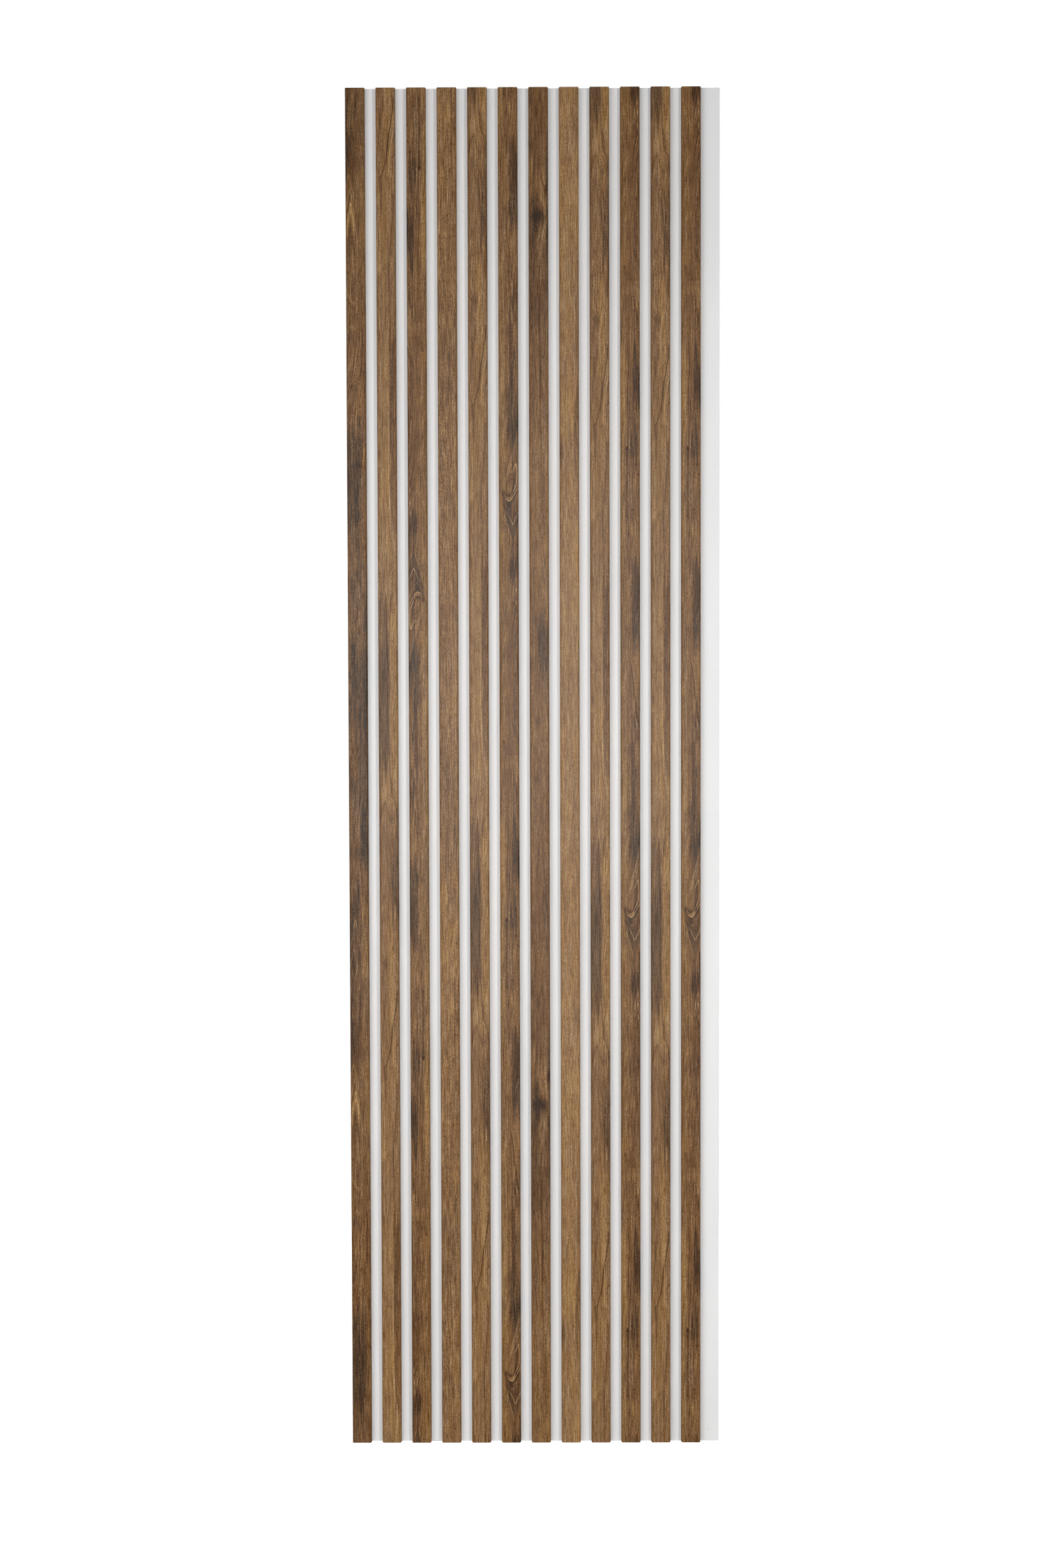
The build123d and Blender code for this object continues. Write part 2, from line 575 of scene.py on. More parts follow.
    lane.streak([(1652, 8.0), (1674, 8.3), (1702, 7.4)], 1.3, -0.24, soft=16)
    lane.patch(1626, 1680, 8.5, OFF_RIGHT, 0.05, soft=30)
    lane.patch(1560, 1676, OFF_LEFT, -6, 0.05, gold=0.2, soft=40, side=3.0)
    return lane.finish(1.0)


def lane_wedge(across, down, seed):
    """Tan lane, half dark and half golden in turn, with a curved dark streak and a long diagonal one."""
    lane = Lane(across, down, seed, 0.575)
    lane.lean([(0, 14), (80, 14), (160, 0), (480, 0), (640, 14), (1240, 14), (1420, 6), (1698, 14)], -14, 8)
    lane.patch(1440, 1762, OFF_LEFT, 0.5, -0.16, grey=0.29, soft=44, side=2.7)
    lane.patch(1530, 1750, OFF_LEFT, 3.5, -0.06, grey=0.09, soft=40, side=2.0)
    lane.patch(1545, 1640, -16, -4, -0.12, grey=0.23, soft=50, side=4.8)
    lane.patch(1738, 1776, -13, -2, -0.17, soft=26, side=3.0)
    lane.streak([(1420, -3.2), (1500, -3.0), (1545, -1.2), (1585, 2.2), (1612, 3.5)], 1, -0.29, soft=30)
    lane.streak([(1600, -1.0), (1660, -0.4), (1730, 1.6), (1768, 3.0)], 0.9, -0.22, soft=30)
    lane.spot(1537, -1.0, 14, 3.2, -0.16, grey=0.25)
    lane.patch(1452, 1782, 3, OFF_RIGHT, 0.09, gold=0.5, soft=36, side=1.8)
    lane.wedge(1449, 6, 5.0, 60, 0.05, gold=0.4)
    lane.arch(1418, -3.6, 6.5, 36, 0.65, 0.18, gold=0.2)
    lane.patch(1412, 1450, 1, 13, -0.10, soft=18, side=2.4)
    lane.patch(1612, 1690, 3, 12, -0.08, soft=30, side=2.4)
    lane.patch(84, 142, -14, 4, 0.08, gold=0.35, soft=30)
    lane.streak([(80, 4.6), (104, 5.2), (119, 9.2), (130, 12.6), (142, 14.6), (156, 16.0)], 1.15, -0.24,
                soft=10)
    lane.streak([(84, 7.8), (108, 8.6), (124, 13.4)], 2.4, -0.06, soft=18)
    lane.arch(128, -7, 4.5, 34, 1.1, -0.18, round_by=1.5)
    lane.spot(142, -9, 18, 4.2, -0.10)
    lane.spot(160, 5, 5, 3.0, -0.14, grey=0.25)
    lane.patch(160, 345, OFF_LEFT, OFF_RIGHT, -0.08, grey=0.17, soft=60)
    lane.patch(190, 345, 7, OFF_RIGHT, -0.11, grey=0.17, soft=60, side=4.2)
    lane.streak([(206, 1.0), (232, 4.2), (268, 6.4), (330, 8.2)], 1.6, -0.10, grey=0.2, soft=30)
    lane.arch(306, -9, 5.0, 30, 1.2, -0.09, round_by=2)
    lane.patch(330, 392, 14.0, OFF_RIGHT, -0.17, soft=40, side=1.5)
    lane.patch(345, 480, -2, 13, 0.06, gold=0.35, soft=60, side=3.6)
    lane.arch(408, 7, 3.5, 22, 0.8, -0.11, round_by=2)
    lane.arch(422, 9, 3.5, 22, 0.8, 0.11, round_by=2)
    lane.spot(437, -6, 12, 6.0, -0.08)
    lane.patch(425, 560, -14, -4, -0.08, soft=60, side=3.6)
    lane.patch(440, 610, 0, 12, 0.06, gold=0.4, soft=60, side=3.0)
    lane.streak([(490, 15.4), (508, 14.2), (528, 11.2), (546, 8.4), (562, 5.6), (584, 3.4), (604, 0.6),
                 (620, -3.0), (634, -7.6), (640, -11.4)], 0.85, -0.47, soft=8)
    lane.streak([(486, 16.6), (500, 15.9), (514, 14.6)], 1.3, -0.16, soft=10)
    lane.streak([(554, 6.2), (572, 4.4)], 1.2, -0.10, soft=10)
    lane.streak([(594, -17.0), (614, -15.4), (632, -12.2)], 0.7, -0.29, soft=12)
    lane.spot(648, -9.5, 16, 4.6, -0.16)
    lane.streak([(668, 15.6), (716, 13.0), (762, 9.4), (806, 6.2), (860, 6.0), (905, 7.6)], 1.7, -0.15,
                soft=36)
    lane.patch(925, 1300, 6.2, 14.0, -0.17, grey=0.12, soft=90, side=2.4)
    lane.streak([(925, 6.5), (1000, 5.4), (1110, 7.2), (1190, 4.6), (1250, 8.0), (1320, 15.0)], 0.9, -0.14,
                soft=40)
    lane.patch(660, 900, -14, 3, 0.02, gold=0.3, soft=80, side=3.0)
    lane.patch(925, 1240, -12, 5, 0.06, gold=0.35, soft=90, side=2.4)
    lane.streak([(1150, 3.0), (1240, 4.2), (1290, 8.0), (1330, 12.6)], 0.6, 0.17, soft=40)
    lane.patch(1240, 1410, -4, 14, 0.06, gold=0.25, soft=70, side=3.6)
    lane.streak([(1345, -9.0), (1420, -7.4)], 0.7, -0.18, soft=26)
    return lane.finish(0.97)


def lane_arches(across, down, seed):
    """Dark lane with a fan of lines, a run of nested arches, slanting lines and grey blots."""
    lane = Lane(across, down, seed, 0.42)
    lane.lean([(0, 0), (60, 9), (160, 0), (470, 0), (640, 17), (900, 17), (1300, 8), (1420, 13), (1500, 12),
               (1698, 0)], 44, -24)
    lane.patch(0, 165, OFF_LEFT, 4, -0.14, grey=0.17, soft=50, side=4.8)
    lane.patch(0, 300, 7, OFF_RIGHT, 0.05, gold=0.35, soft=90, side=3.6)
    for place in (-13.5, -10.0, -7.0, -4.0):
        lane.streak([(-16 + place, place + 10), (14, place + 4.0), (40, place + 1.4), (82, place)],
                    0.6, 0.31, soft=26)
    lane.streak([(-20, -14), (20, -16.5), (60, -18)], 0.6, 0.29, soft=20)
    lane.patch(70, 165, OFF_LEFT, -11.5, -0.09, grey=0.12, soft=36, side=2.4)
    lane.streak([(84, -6.5), (130, -4.5), (165, 1.0), (200, 6.0)], 0.6, 0.18, soft=30)
    lane.streak([(110, 0.0), (150, 3.0), (196, 8.6)], 0.6, 0.14, soft=30)
    lane.arch(164, -12.5, 5.0, 60, 0.75, 0.29, gold=0.3)
    lane.arch(192, -10.0, 6.0, 60, 0.75, 0.27, gold=0.3)
    lane.arch(204, -9.6, 6.0, 50, 0.8, -0.18)
    lane.arch(218, -8.2, 6.5, 90, 0.75, 0.35, gold=0.3)
    lane.arch(231, -8.2, 7.5, 80, 0.75, 0.23, gold=0.2)
    lane.wedge(233, -8.2, 8.0, 110, -0.07)
    lane.arch(264, -8.2, 9.0, 66, 0.8, -0.20)
    lane.patch(165, 470, OFF_LEFT, OFF_RIGHT, 0.03, gold=0.25, soft=50)
    lane.spot(334, -8.0, 26, 3.2, 0.10, gold=0.3)
    lane.spot(388, -4.0, 22, 3.0, -0.07)
    lane.ring([(-17, 384), (-12, 394), (-7, 403), (-3, 406), (0, 402), (3, 388)], 2.4, 0.19, gold=0.3)
    lane.ring([(-17, 396), (-11, 408), (-4, 416), (3, 404)], 2.6, -0.11)
    lane.ring([(-15, 440), (-11, 452), (-7, 448), (-3, 455), (1, 446)], 2.6, 0.16, gold=0.3)
    lane.spot(470, -11, 10, 7.0, -0.14, grey=0.4)
    lane.spot(484, -3, 9, 4.0, -0.08, grey=0.25)
    lane.patch(478, 520, -14, -3, 0.06, gold=0.3, soft=20)
    for start in (0, 34, 70, 108, 138):
        lane.streak([(478 + start, 4.0 - start * 0.02), (530 + start, -3.0), (580 + start * 0.7, -9.5)],
                    0.6, 0.22, gold=0.3, soft=26)
        lane.streak([(470 + start, 10.0), (530 + start, 3.4), (600 + start * 0.8, -4.5)],
                    0.6, 0.17, gold=0.2, soft=26)
    lane.spot(593, -15, 4, 2.4, 0.16, gold=0.4)
    lane.patch(648, 842, OFF_LEFT, 9.0, -0.17, grey=0.58, soft=44, side=3.0)
    lane.patch(760, 836, -6, 5, -0.09, grey=0.23, soft=30)
    lane.streak([(650, 14.0), (690, 13.6), (728, 12.4)], 1.2, 0.12, gold=0.8, soft=26)
    lane.streak([(668, -7.5), (700, -10.0), (744, -12.0)], 0.7, 0.17, soft=30)
    lane.patch(842, 1030, -14, 9, 0.01, grey=0.29, soft=60, side=3.6)
    lane.patch(895, 1180, 12, OFF_RIGHT, -0.14, grey=0.35, soft=80, side=2.4)
    lane.patch(1000, 1040, -12, 10, 0.06, soft=30, side=3.6)
    lane.spot(1056, -7.5, 20, 5.0, -0.20, grey=0.55)
    lane.patch(1072, 1204, OFF_LEFT, OFF_RIGHT, -0.15, grey=0.58, soft=44)
    lane.streak([(1080, -14), (1130, -9.0), (1180, -7.0)], 0.7, 0.13, soft=30)
    lane.patch(1204, 1310, OFF_LEFT, -2, -0.05, gold=0.2, soft=40)
    lane.patch(1204, 1480, 1.5, OFF_RIGHT, -0.15, grey=0.52, soft=40, side=3.0)
    lane.spot(1326, -10, 18, 5.5, -0.20, grey=0.55)
    lane.spot(1356, -11, 9, 2.2, 0.17, grey=0.35)
    lane.patch(1345, 1420, -14, 0, 0.01, grey=0.35, soft=30)
    lane.streak([(1340, 8.0), (1380, 2.6), (1424, -1.6)], 0.7, 0.26, gold=0.3, soft=20)
    lane.patch(1362, 1480, 6, 15, -0.11, grey=0.40, soft=40, side=3.0)
    lane.spot(1446, -13.5, 18, 3.4, -0.16, grey=0.55)
    lane.spot(1448, -2, 16, 4.0, -0.14, grey=0.5)
    lane.spot(1496, -7, 24, 3.6, 0.10, gold=0.3)
    lane.streak([(1456, 8.0), (1480, 5.0), (1500, 2.4), (1518, 4.0)], 0.8, 0.18, soft=14)
    lane.patch(1505, 1698, 5.0, OFF_RIGHT, 0.08, gold=0.5, soft=50, side=2.4)
    lane.streak([(1480, 11), (1520, 8.4), (1560, 5.2), (1610, 3.0)], 1.4, -0.14, grey=0.2, soft=30)
    lane.patch(1522, 1580, -15, 0, -0.15, grey=0.58, soft=28, side=3.0)
    lane.patch(1580, 1698, OFF_LEFT, 3, -0.12, grey=0.29, soft=40, side=3.0)
    lane.arch(1584, -7.2, 6.4, 66, 0.65, 0.36, round_by=1.4)
    lane.arch(1601, -7.2, 7.0, 50, 0.65, 0.18, round_by=1.2)
    lane.arch(1640, -10.6, 6.5, 40, 0.65, 0.44, round_by=1.4)
    lane.spot(1660, -12.4, 16, 2.2, -0.16, gold=0.3)
    lane.streak([(1640, -1.6), (1670, -4.0), (1690, -8.0), (1712, -14.0)], 0.6, 0.29, soft=14)
    return lane.finish(1.0)


def lane_knot(across, down, seed):
    """Brown lane with one large dark knot, a long dark streak below it and a grey field further down."""
    lane = Lane(across, down, seed, 0.485)
    lane.lean([(0, 0), (160, 0), (205, -7), (236, -7), (300, 0), (1698, 0)], -30, 16)
    lane.patch(0, 165, OFF_LEFT, OFF_RIGHT, -0.07, grey=0.12, soft=60)
    lane.streak([(20, 4.0), (70, 5.5), (130, 9.0), (176, 13.0)], 1, -0.14, soft=40)
    lane.patch(110, 300, 13.5, OFF_RIGHT, -0.19, grey=0.23, soft=60, side=2.4)
    lane.spot(189, 16.0, 12, 4.4, -0.34)
    lane.streak([(160, -7.0), (184, -4.5), (204, 2.0), (216, 8.0)], 1.1, 0.10, gold=0.4, soft=16)
    lane.streak([(150, -1.0), (180, 3.0), (202, 9.6)], 1, 0.14, gold=0.4, soft=16)
    lane.streak([(168, -12.5), (200, -10.0), (232, -8.8)], 1.6, -0.10, soft=20)
    lane.spot(214, -9.5, 20, 8.5, -0.24, grey=0.2)
    lane.spot(242, -6.5, 15, 9.0, -0.36, grey=0.3)
    lane.spot(241, 4.5, 14, 8.0, -0.36, grey=0.2)
    lane.spot(244, 0.5, 9, 7.0, -0.14, grey=0.1)
    lane.spot(266, -5.0, 12, 8.0, -0.18, grey=0.1)
    lane.spot(232, 10.5, 11, 3.4, 0.09, gold=0.3)
    lane.streak([(226, -14.5), (234, -10.0), (240, -4.0)], 0.7, 0.22, soft=8)
    lane.streak([(256, -8.0), (268, -9.5), (300, -10.5)], 3.2, -0.15, grey=0.2, soft=24)
    lane.streak([(246, 16.5), (262, 12.0), (280, 7.4), (300, 4.0)], 0.8, 0.26, gold=0.3, soft=14)
    lane.streak([(258, 16.8), (274, 12.6), (296, 8.4)], 0.8, 0.18, gold=0.3, soft=14)
    lane.streak([(262, 3.0), (282, 0.0), (310, -3.0)], 1, 0.13, soft=18)
    lane.patch(262, 445, OFF_LEFT, OFF_RIGHT, -0.12, grey=0.12, soft=56)
    lane.patch(300, 360, 2, 14, 0.05, soft=40)
    lane.streak([(350, 0.5), (430, 1.6), (520, 2.6), (610, 2.4), (700, 3.6), (740, 3.2)], 2.1, -0.165,
                soft=60)
    lane.streak([(440, 1.5), (520, 2.8), (560, 3.2)], 1, -0.18, grey=0.1, soft=40)
    lane.patch(345, 640, -16, -2.5, -0.04, grey=0.17, soft=80, side=2.4)
    lane.patch(440, 720, 6.5, OFF_RIGHT, 0.02, grey=0.23, soft=80, side=3.0)
    lane.patch(640, 1000, OFF_LEFT, OFF_RIGHT, 0.05, gold=0.2, soft=110)
    lane.streak([(862, -12.6), (930, -11.0), (1000, -7.6), (1020, -6.6)], 0.7, -0.22, soft=40)
    lane.streak([(700, 9.0), (790, 8.2), (860, 9.6)], 0.7, -0.14, soft=40)
    lane.patch(1006, 1106, -2.0, 16, -0.22, grey=0.58, soft=46, side=4.2)
    lane.patch(990, 1110, -16, -4, -0.04, soft=50)
    lane.patch(1120, 1500, OFF_LEFT, OFF_RIGHT, 0.01, soft=120)
    lane.patch(1500, 1640, 5, 16, -0.12, grey=0.29, soft=80, side=4.2)
    return lane.finish(0.9)


def lane_straight(across, down, seed):
    """Warm tan lane of plain straight grain with clear short dashes."""
    lane = Lane(across, down, seed, 0.575)
    lane.lean([(0, 0), (280, 0), (560, -9), (1100, -9), (1480, -5), (1698, 0)], -60, 10)
    lane.streak([(-40, -4.0), (60, -3.4), (160, -4.6), (240, -3.6)], 1.1, 0.10, gold=0.4, soft=60)
    lane.streak([(20, 5.6), (120, 6.6), (210, 6.0)], 0.9, 0.13, gold=0.3, soft=60)
    lane.streak([(0, 10.0), (140, 9.0)], 1.4, -0.07, soft=60)
    lane.patch(440, 620, OFF_LEFT, OFF_RIGHT, -0.04, grey=0.12, soft=110)
    lane.patch(500, 570, -3, 7, -0.05, grey=0.23, soft=60)
    lane.patch(1210, 1470, OFF_LEFT, OFF_RIGHT, -0.05, grey=0.12, soft=120)
    lane.patch(1560, 1720, OFF_LEFT, OFF_RIGHT, 0.02, gold=0.3, soft=80)
    lane.spot(1053, -16.4, 5, 1.6, -0.26, grey=0.25)
    lane.streak([(900, 9.5), (960, 10.5)], 0.6, -0.22, soft=26)
    lane.streak([(1140, 12.6), (1240, 13.0), (1330, 12.4)], 0.7, 0.18, gold=0.4, soft=40)
    return lane.finish(1.05, 0.06)


def lane_pale(across, down, seed):
    """The palest, most even lane, with a brown strip at the right and a knot at its left edge."""
    lane = Lane(across, down, seed, 0.675)
    lane.patch(350, 560, 12.5, OFF_RIGHT, -0.11, gold=-0.2, soft=90, side=3.0)
    lane.patch(585, 730, 8.0, OFF_RIGHT, -0.16, grey=0.23, soft=60, side=3.0)
    lane.spot(690, -17.0, 17, 3.0, -0.24, grey=0.3)
    lane.spot(694, -14.0, 34, 7.0, -0.09, grey=0.1)
    lane.streak([(640, -13.5), (668, -11.8), (694, -10.6), (724, -12.2), (750, -14.5)], 0.9, 0.09, soft=26)
    lane.patch(200, 275, OFF_LEFT, OFF_RIGHT, 0.00, gold=0.25, soft=70)
    lane.patch(560, 690, -10, 6, 0.03, gold=0.3, soft=60)
    lane.streak([(960, -14), (1000, -9.0), (1030, -6.6)], 0.8, 0.13, soft=20)
    lane.arch(1006, -7, 5.0, 44, 1, -0.10, round_by=2)
    lane.streak([(1160, -16), (1230, -9.0), (1300, -7.0)], 1, -0.10, soft=40)
    lane.patch(1240, 1500, 1, 13, -0.04, soft=90, side=3.6)
    return lane.finish(0.85, 0.05)


# Which lane of the film each slat was cut from. A slat shows its lane from a given place onward, and a
# turned one shows it the other way up. All three were read off the photograph by matching the grain.
CUTS = [
    (lane_arches, 0, False),
    (lane_wedge, 469, False),
    (lane_swirl, 833, True),
    (lane_straight, 0, False),
    (lane_wedge, 38, False),
    (lane_swirl, -901, False),
    (lane_knot, 0, False),
    (lane_pale, 0, False),
    (lane_wedge, 0, False),
    (lane_swirl, 0, False),
    (lane_wedge, 0, False),
    (lane_swirl, 0, False),
]

# Where each lane's noise starts in the endless pattern
LANE_SEEDS = {lane_arches: 3.0, lane_wedge: 411.0, lane_swirl: 823.0, lane_straight: 1237.0,
              lane_knot: 1619.0, lane_pale: 2027.0}


# Colours of the film from dark to pale, as seen on screen under plain white light
BROWN = [(0.0, (49, 25, 7)), (0.2, (79, 48, 22)), (0.42, (109, 73, 41)), (0.5, (118, 83, 50)),
         (0.655, (141, 102, 64)), (0.755, (155, 118, 74)), (1.0, (189, 155, 108))]
GREY = [(0.0, (41, 28, 16)), (0.2, (70, 51, 32)), (0.42, (100, 75, 51)), (0.5, (110, 86, 63)),
        (0.655, (131, 105, 80)), (0.755, (146, 120, 94)), (1.0, (180, 157, 127))]
GOLDEN = [(0.0, (51, 28, 5)), (0.2, (84, 52, 19)), (0.42, (112, 77, 37)), (0.5, (123, 88, 47)),
          (0.655, (148, 109, 60)), (0.755, (162, 124, 70)), (1.0, (198, 160, 103))]
RAW_FIBRE = [(0.0, (104, 78, 54)), (0.45, (146, 115, 83)), (0.7, (165, 134, 99)), (1.0, (190, 160, 124))]
FILM_EDGE = (74, 53, 38)
BOARD_WHITE = [(0.0, (228, 228, 227)), (0.5, (234, 234, 234)), (1.0, (239, 239, 238))]
BOARD_WHITE_EDGE = (226, 225, 222)
CHIP_COLOUR = (150, 139, 127)
SPECK_COLOUR = (120, 108, 96)

# Finish of the surfaces: low shine, and how deep the grain and the board's texture are in millimetres
SHINE = 0.05
FILM_ROUGHNESS = 0.45
BOARD_ROUGHNESS = 0.46
GRAIN_DEPTH = 0.08
BOARD_TEXTURE_DEPTH = 0.05

# The film's edge as it shows on a sawn end. It fades out between these depths in millimetres, under the
# face and in from the widest part of the sides.
FACE_RIM = (0.45, 0.2)
SIDE_RIM = (0.75, 0.5)


def film_lane(make_lane, seed):
    """One lane of the film as a formula, shared by the slats that were cut from it."""
    outputs = ["tone", "grey", "gold", "grain", "pores"]

    def build(across, down):
        return make_lane(across, down, seed)

    return formula(make_lane.__name__, ["across", "down"], outputs, build)


def raw_fibreboard(tree, x, y, z):
    """Colour and height of bare fibreboard, as on sawn ends."""
    clumps = noise(x / 1.7, y / 1.7, z / 1.7, 3.0, 0.6)
    fibres = noise(x / 0.35, y / 0.5, z / 0.35, 2.0, 0.6)
    cloudy = noise(x / 60, y / 60, z / 130, 3.0, 0.6)
    height = clumps * 0.16 + fibres * 0.14 + cloudy * 0.10 + 0.55
    return ramp(height, RAW_FIBRE), height


def wood_material(name, lane, start, turned):
    """Walnut film over a moulding: decor on the face and sides, bare fibreboard on the ends and back."""
    material, tree, shader = new_material(name)
    x, y, z = object_place(tree)
    low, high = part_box(name)
    from_centre = x - (low.x + high.x) / 2 * MM
    across = from_centre + from_centre.sign() * (y - slat_face_y)
    down = panel_top - z
    if turned:
        tone, grey, gold, grain, pores = use(lane, -across, start - down)
    else:
        tone, grey, gold, grain, pores = use(lane, across, down + start)
    film = mix(gold.at_least(0.0).at_most(1.0), ramp(tone, BROWN), ramp(tone, GOLDEN))
    film = mix(grey.at_least(0.0).at_most(1.0), film, ramp(tone, GREY))

    _, normal_y, normal_z = facing(tree)
    sawn = normal_z.abs().step(0.5, 0.8)
    bare = sawn.join("MAXIMUM", normal_y.step(0.6, 0.9))
    raw, raw_height = raw_fibreboard(tree, x, y, z)
    side_rim = from_centre.abs().step(slat_half_width - SIDE_RIM[0], slat_half_width - SIDE_RIM[1])
    rim = (y - slat_face_y).step(*FACE_RIM).join("MAXIMUM", side_rim)
    raw = mix(rim * sawn, raw, FILM_EDGE)
    tree.links.new(mix(bare, film, raw), shader.inputs["Base Color"])

    shader.inputs["Specular IOR Level"].default_value = SHINE
    roughness = grain * 0.08 + pores * 0.14 + FILM_ROUGHNESS
    tree.links.new((roughness + bare * 0.35).socket, shader.inputs["Roughness"])
    height = (grain * 0.30 - pores * 0.5 + 0.6) * (1.0 - bare) + raw_height * bare
    bump(tree, shader, height, GRAIN_DEPTH)
    return material


# Wear that the photo shows on the white board, sizes in millimetres and places in millimetres
# from the panel's middle. Each size fades out from its second value to its first.
CHIP_X = -200.0
CHIP_HEIGHT = (1.5, 0.9)
CHIP_HALF_WIDTH = (11.0, 8.5)
SPECKS = [(-141.5, 1069.0), (327.6, -1277.0)]
SPECK_RADIUS = (1.0, 0.5)


def board_material():
    """White-faced thin fibreboard: white front with faint unevenness, brown back and sawn edges."""
    material, tree, shader = new_material("white_faced_board")
    x, y, z = object_place(tree)
    _, normal_y, _ = facing(tree)
    cloudy = noise(x / 90, y / 90, z / 240, 2.0, 0.5)
    specks = noise(x / 0.9, y / 0.9, z / 0.9, 1.0, 0.5)
    white = ramp(cloudy * 0.25 + specks * 0.10 + 0.5, BOARD_WHITE)

    ragged = noise(x / 1.5, 0.0, 0.0, 2.0, 0.6)
    chip = (z - panel_bottom - ragged * 0.7).step(*CHIP_HEIGHT)
    chip = chip * (x - CHIP_X).abs().step(*CHIP_HALF_WIDTH)
    white = mix(chip * 0.75, white, CHIP_COLOUR)
    for speck_x, speck_z in SPECKS:
        sideways = x - speck_x
        along = z - speck_z
        speck = (sideways * sideways + along * along).root().step(*SPECK_RADIUS)
        white = mix(speck * 0.7, white, SPECK_COLOUR)

    raw, raw_height = raw_fibreboard(tree, x, y, z)
    raw = mix((y - board_front_y).step(0.30, 0.15), raw, BOARD_WHITE_EDGE)
    bare = normal_y.step(-0.8, -0.5)
    tree.links.new(mix(bare, white, raw), shader.inputs["Base Color"])
    shader.inputs["Specular IOR Level"].default_value = SHINE
    roughness = specks * 0.04 + bare * 0.4 + BOARD_ROUGHNESS
    tree.links.new(roughness.socket, shader.inputs["Roughness"])
    texture = noise(x / 0.6, y / 0.6, z / 1.4, 2.0, 0.5)
    height = (texture * 0.3 + 0.5) * (1.0 - bare) + raw_height * bare
    bump(tree, shader, height, BOARD_TEXTURE_DEPTH)
    return material


lanes = {make_lane: film_lane(make_lane, seed) for make_lane, seed in LANE_SEEDS.items()}
for name, (make_lane, start, turned) in zip(slat_names, CUTS):
    finish_cad_node(name, wood_material(name, lanes[make_lane], start, turned))
finish_cad_node("backing_board", board_material())

# Floor and background, with sizes in metres
WHITE = (1.0, 1.0, 1.0, 1.0)
FLOOR_PAINT = (0.82, 0.82, 0.82, 1.0)
FLOOR_ROUGHNESS = 0.9
FLOOR_OWN_LIGHT = 0.85
FLOOR_BELOW_PANEL = 0.40
FLOOR_HALF_SIZE = 9.0
FILL_LIGHT = 0.22


def floor_material():
    """White floor: nearly white by itself to the camera, the rest is real light, so it keeps shadows."""
    material, tree, shader = new_material("floor_white")
    shader.inputs["Base Color"].default_value = FLOOR_PAINT
    shader.inputs["Roughness"].default_value = FLOOR_ROUGHNESS
    own_light = tree.nodes.new("ShaderNodeEmission")
    tree.links.new((seen_rays(tree) * FLOOR_OWN_LIGHT).socket, own_light.inputs["Strength"])
    add = tree.nodes.new("ShaderNodeAddShader")
    tree.links.new(shader.outputs["BSDF"], add.inputs[0])
    tree.links.new(own_light.outputs[0], add.inputs[1])
    tree.links.new(add.outputs[0], tree.nodes["Material Output"].inputs["Surface"])
    return material


def add_floor():
    """One large square below the panel, part of the stage."""
    half = FLOOR_HALF_SIZE
    level = cad_low.z - FLOOR_BELOW_PANEL
    mesh = bpy.data.meshes.new("floor")
    corners = [(-half, -half, level), (half, -half, level), (half, half, level), (-half, half, level)]
    mesh.from_pydata(corners, [], [(0, 1, 2, 3)])
    floor = bpy.data.objects.new("floor", mesh)
    bpy.context.scene.collection.objects.link(floor)
    mesh.materials.append(floor_material())


def add_world():
    """White background to the camera and in reflections, and a weak even fill for everything else."""
    world = bpy.data.worlds.new("studio")
    bpy.context.scene.world = world
    world.use_nodes = True
    tree = world.node_tree
    tree.nodes.clear()
    fill = tree.nodes.new("ShaderNodeBackground")
    fill.inputs["Strength"].default_value = FILL_LIGHT
    seen = tree.nodes.new("ShaderNodeBackground")
    seen.inputs["Color"].default_value = WHITE
    seen.inputs["Strength"].default_value = 1.0
    blend = tree.nodes.new("ShaderNodeMixShader")
    tree.links.new(seen_rays(tree).socket, blend.inputs[0])
    tree.links.new(fill.outputs[0], blend.inputs[1])
    tree.links.new(seen.outputs[0], blend.inputs[2])
    output = tree.nodes.new("ShaderNodeOutputWorld")
    tree.links.new(blend.outputs[0], output.inputs["Surface"])


add_floor()
add_world()

# Lamps, with places and sizes in metres and powers in watts. The first three light the front, the next
# two the bare back and the sawn top ends, and the last gives the film its faint sheen.
LAMP_AIM = Vector((0.0, 0.0, 0.05))


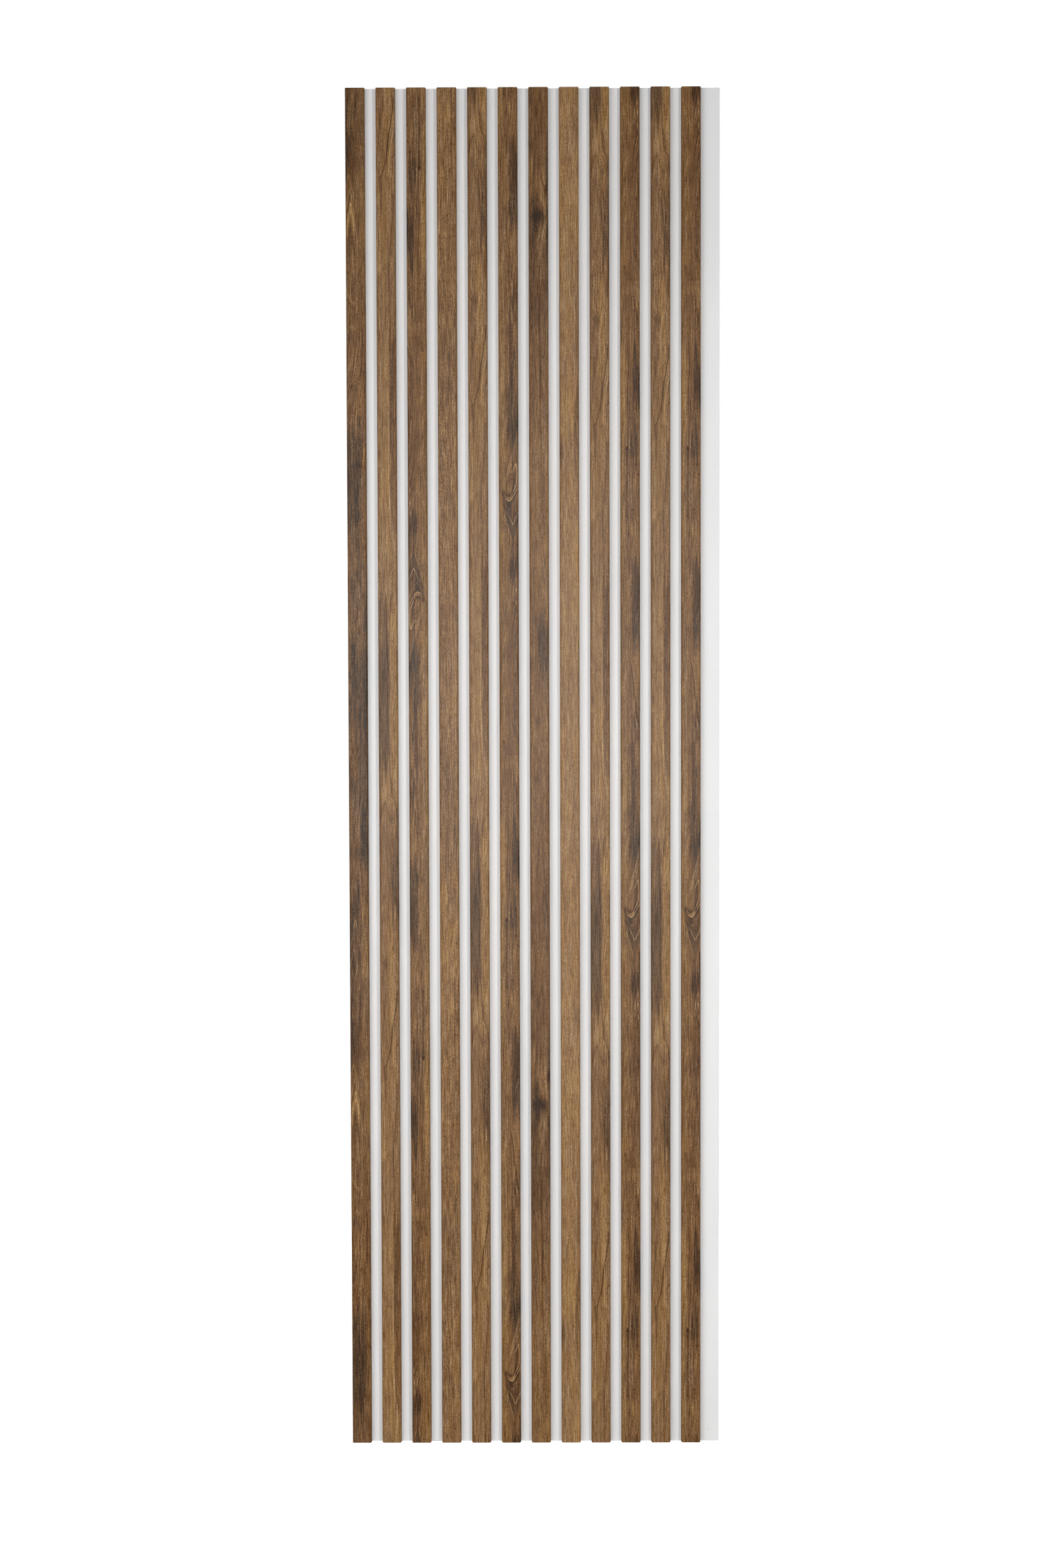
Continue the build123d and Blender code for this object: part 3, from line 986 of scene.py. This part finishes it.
def add_light(name, place, width, height, power, sheen_only=False):
    """A soft box aimed at the panel's middle; a sheen-only one shows in reflections alone."""
    light = bpy.data.lights.new(name, "AREA")
    light.shape = "RECTANGLE"
    light.size = width
    light.size_y = height
    light.energy = power
    lamp = bpy.data.objects.new(name, light)
    bpy.context.scene.collection.objects.link(lamp)
    lamp.location = place
    lamp.rotation_mode = "QUATERNION"
    lamp.rotation_quaternion = (LAMP_AIM - Vector(place)).to_track_quat("-Z", "Y")
    lamp.visible_diffuse = not sheen_only


add_light("front_box", (0.0, -3.4, 0.12), 1.0, 1.2, 13.6)
add_light("left_box", (-1.9, -2.76, 0.12), 2.3, 1.3, 47.0)
add_light("right_box", (1.84, -2.94, 0.12), 0.42, 0.9, 36.5)
add_light("back_box", (0.9, 3.3, 0.6), 2.2, 1.6, 95.0)
add_light("top_box", (0.0, 0.6, 3.4), 1.6, 1.0, 38.0)
add_light("sheen_box", (0.0, -3.7, 0.12), 1.0, 0.9, 340, sheen_only=True)

# Camera, fitted to the panel's edges in the photograph, with its place in metres
PHOTO_ROWS = 2352
LENS_IN_ROWS = 3652.6
SENSOR_MM = 36.0
CAMERA_PLACE = Vector((-0.0069, -4.68, 0.1804))
CAMERA_TILT_DEG = -2.474
CAMERA_TURN_DEG = 0.286
CAMERA_ROLL_DEG = -0.162


def add_camera():
    """Looks level along +Y before its tilt, its turn and its roll."""
    data = bpy.data.cameras.new("camera")
    data.sensor_width = SENSOR_MM
    data.lens = LENS_IN_ROWS / PHOTO_ROWS * SENSOR_MM
    camera = bpy.data.objects.new("camera", data)
    bpy.context.scene.collection.objects.link(camera)
    turn = Matrix.Rotation(math.radians(CAMERA_TURN_DEG), 4, "Z")
    tilt = Matrix.Rotation(math.radians(90 + CAMERA_TILT_DEG), 4, "X")
    roll = Matrix.Rotation(math.radians(CAMERA_ROLL_DEG), 4, "Z")
    camera.matrix_world = Matrix.Translation(CAMERA_PLACE) @ turn @ tilt @ roll
    bpy.context.scene.camera = camera


add_camera()
bpy.context.scene.view_settings.view_transform = "Standard"
